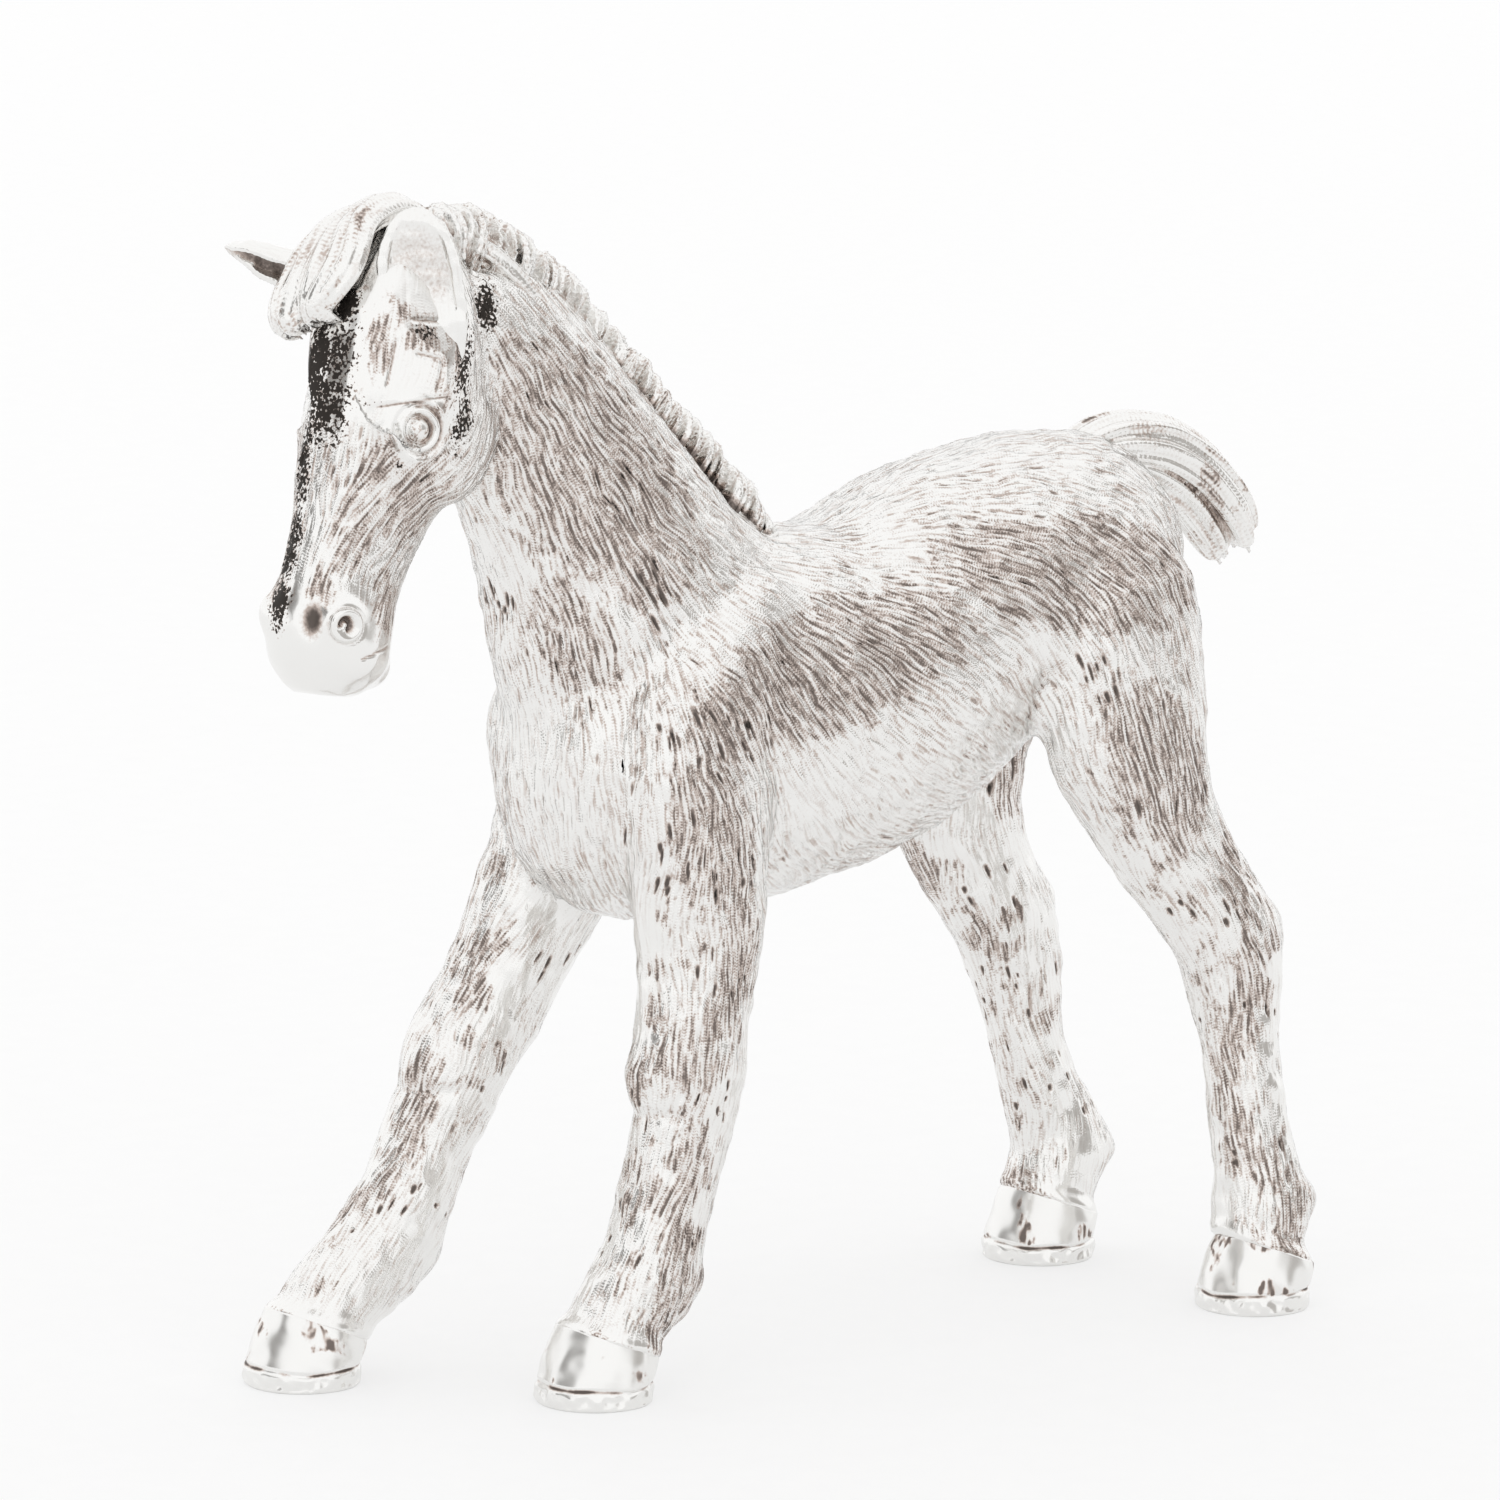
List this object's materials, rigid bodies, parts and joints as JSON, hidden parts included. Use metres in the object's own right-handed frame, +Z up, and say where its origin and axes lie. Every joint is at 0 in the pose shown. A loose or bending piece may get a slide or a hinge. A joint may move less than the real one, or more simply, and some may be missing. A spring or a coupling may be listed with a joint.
{
  "type": "foal figurine",
  "caption": "Small cast silver figurine of a standing foal with braced forelegs, a lowered head turned to one side, a clipped mane, engraved coat texture and a short arched tail.",
  "frame": {"origin": "centre of the bounding box at ground level, under the foal between its hooves", "axes": "+Z up, the foal faces -Y, its own left side is +X"},
  "size_m": [0.0219, 0.0624, 0.0593],
  "materials": {
    "coat": "silver, engraved hair strokes with darkened grooves, polished between them",
    "hair": "silver, combed grooves, bright polished ridges",
    "hoof": "silver, smooth mirror polish"
  },
  "bodies": {
    "root": {"torso": "coat", "neck": "coat", "head": "coat", "ear_left": "coat", "ear_right": "coat", "forelock": "hair", "mane": "hair", "tail": "hair", "foreleg_left": "coat", "foreleg_right": "coat", "hindleg_left": "coat", "hindleg_right": "coat", "hoof_fore_left": "hoof", "hoof_fore_right": "hoof", "hoof_hind_left": "hoof", "hoof_hind_right": "hoof"}
  },
  "joints": []
}
